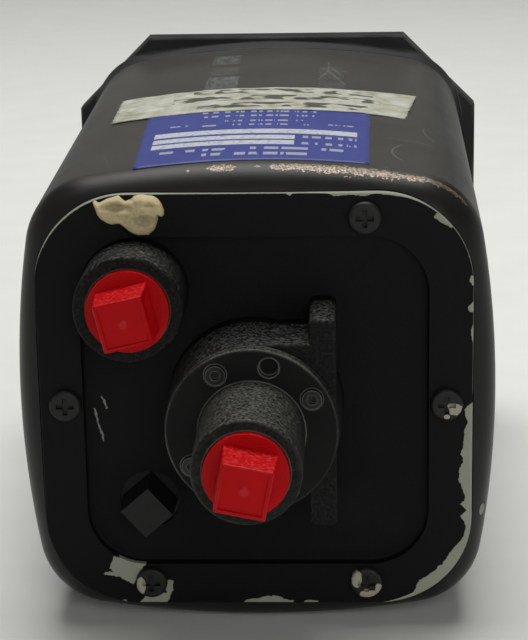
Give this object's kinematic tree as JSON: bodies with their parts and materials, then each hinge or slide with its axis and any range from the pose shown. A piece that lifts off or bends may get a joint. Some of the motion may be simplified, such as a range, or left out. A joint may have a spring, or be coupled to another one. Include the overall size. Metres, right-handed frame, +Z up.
{
  "type": "attitude indicator",
  "caption": "Air-driven gyro horizon for a round panel hole: clipped square flange, long rounded case, cast rear cover with plugged air ports.",
  "frame": {"origin": "centre of the four panel screws, on the flange face that seats behind the panel, on the roll axis", "axes": "+Z up, -Y the way the dial looks, +Y towards the rear ports along the roll axis, +X to the right seen from the front"},
  "size_m": [0.0856, 0.1778, 0.0856],
  "materials": {
    "case_paint": "satin black enamel, worn to metal at the edges",
    "cover_paint": "satin black enamel on a casting",
    "cap_paint": "rough black enamel on a casting",
    "plug_red": "glossy red moulded plastic",
    "plug_black": "black oxide",
    "putty": "dull cream putty",
    "screw_steel": "plain steel",
    "socket_screw_black": "black oxide steel",
    "knob_black": "moulded black",
    "glass": "clear, polished",
    "black_rubber": "matt",
    "spring_steel": "dark spring steel",
    "dial_black": "flat black",
    "aircraft_orange": "flat orange",
    "ball_paint": "blue above, brown below",
    "bright_steel": "ground steel",
    "brass": "turned brass",
    "aluminium": "machined",
    "filter_felt": "fibre disc"
  },
  "bodies": {
    "case": {"front_frame": "case_paint", "front_seal": "black_rubber", "frame_screws": "screw_steel", "glass": "glass", "glass_gasket": "black_rubber", "retaining_ring": "spring_steel", "bank_scale_dish": "dial_black", "dish_screws": "screw_steel", "slide_gibs": "brass", "shaft_seal": "black_rubber", "case_shell": "case_paint", "rear_gasket": "black_rubber", "rear_cover": "cover_paint", "cover_screws": "screw_steel", "inlet_cap": "cap_paint", "cap_screws": "socket_screw_black", "inlet_filter": "filter_felt", "drain_plug": "plug_black", "seal_putty": "putty", "roll_bearing_outer_rings": "bright_steel", "roll_bearing_balls": "bright_steel", "bearing_spacer": "brass", "bearing_circlip": "spring_steel"},
    "inlet_plug": {"inlet_plug": "plug_red"},
    "outlet_plug": {"outlet_plug": "plug_red"},
    "knob": {"adjust_knob": "knob_black", "adjust_shaft": "bright_steel", "crank_disc": "bright_steel", "knob_grub_screw": "bright_steel"},
    "aircraft": {"aircraft_slide": "dial_black", "miniature_aircraft": "aircraft_orange"},
    "roll_frame": {"roll_gimbal": "aluminium", "horizon_mask": "dial_black", "mask_screws": "screw_steel", "ball_bushes": "brass", "pitch_bushes": "brass", "roll_shaft": "bright_steel", "shaft_nut": "bright_steel", "trunnion_screws": "screw_steel", "roll_bearing_inner_rings": "bright_steel"},
    "gyro": {"gyro_housing": "aluminium", "gyro_housing_cover": "aluminium", "housing_screws": "screw_steel", "pitch_pivots": "bright_steel", "gyro_crank_pin": "bright_steel", "rotor_bearings": "bright_steel", "vane_block": "aluminium", "balance_weight": "brass"},
    "rotor": {"rotor": "brass", "rotor_shaft": "bright_steel"},
    "ball": {"horizon_ball": "ball_paint", "ball_axle": "bright_steel", "ball_crank_pin": "bright_steel"},
    "link": {"link_rod": "bright_steel"},
    "long_vanes": {"long_vanes": "aluminium"},
    "cross_vanes": {"cross_vanes": "aluminium"}
  },
  "joints": [
    {"name": "inlet_plug_pull", "type": "slide", "parent": "case", "child": "inlet_plug", "axis": [0, 1, 0], "range_m": [0, 0.014]},
    {"name": "outlet_plug_pull", "type": "slide", "parent": "case", "child": "outlet_plug", "axis": [0, 1, 0], "range_m": [0, 0.014]},
    {"name": "knob_turn", "type": "hinge", "parent": "case", "child": "knob", "pos_m": [0, 0, -0.0344], "axis": [0, -1, 0], "range_deg": [-45, 45]},
    {"name": "aircraft_height", "type": "slide", "parent": "case", "child": "aircraft", "axis": [0, 0, 1], "range_m": [-0.00233, 0.00233]},
    {"name": "roll", "type": "hinge", "parent": "case", "child": "roll_frame", "pos_m": [0, 0, 0], "axis": [0, 1, 0], "continuous": true},
    {"name": "pitch", "type": "hinge", "parent": "roll_frame", "child": "gyro", "pos_m": [0, 0.08299, 0], "axis": [1, 0, 0], "range_deg": [-60, 60]},
    {"name": "rotor_spin", "type": "hinge", "parent": "gyro", "child": "rotor", "pos_m": [0, 0.08299, 0], "axis": [0, 0, 1], "continuous": true},
    {"name": "ball_tilt", "type": "hinge", "parent": "roll_frame", "child": "ball", "pos_m": [0, 0.0302, 0], "axis": [1, 0, 0], "range_deg": [-60, 60]},
    {"name": "link_swing", "type": "hinge", "parent": "gyro", "child": "link", "pos_m": [0, 0.08299, 0.0115], "axis": [1, 0, 0], "range_deg": [-60, 60]},
    {"name": "long_vane_swing", "type": "hinge", "parent": "gyro", "child": "long_vanes", "pos_m": [0, 0.08299, -0.0148], "axis": [0, 1, 0], "range_deg": [-14, 14]},
    {"name": "cross_vane_swing", "type": "hinge", "parent": "gyro", "child": "cross_vanes", "pos_m": [0, 0.08299, -0.017], "axis": [1, 0, 0], "range_deg": [-14, 14]}
  ],
  "couplings": [
    {"joint": "ball_tilt", "follows": "pitch", "ratio": 1},
    {"joint": "link_swing", "follows": "pitch", "ratio": -1},
    {"joint": "knob_turn", "follows": "aircraft_height", "rad_per_m": 335.64}
  ]
}
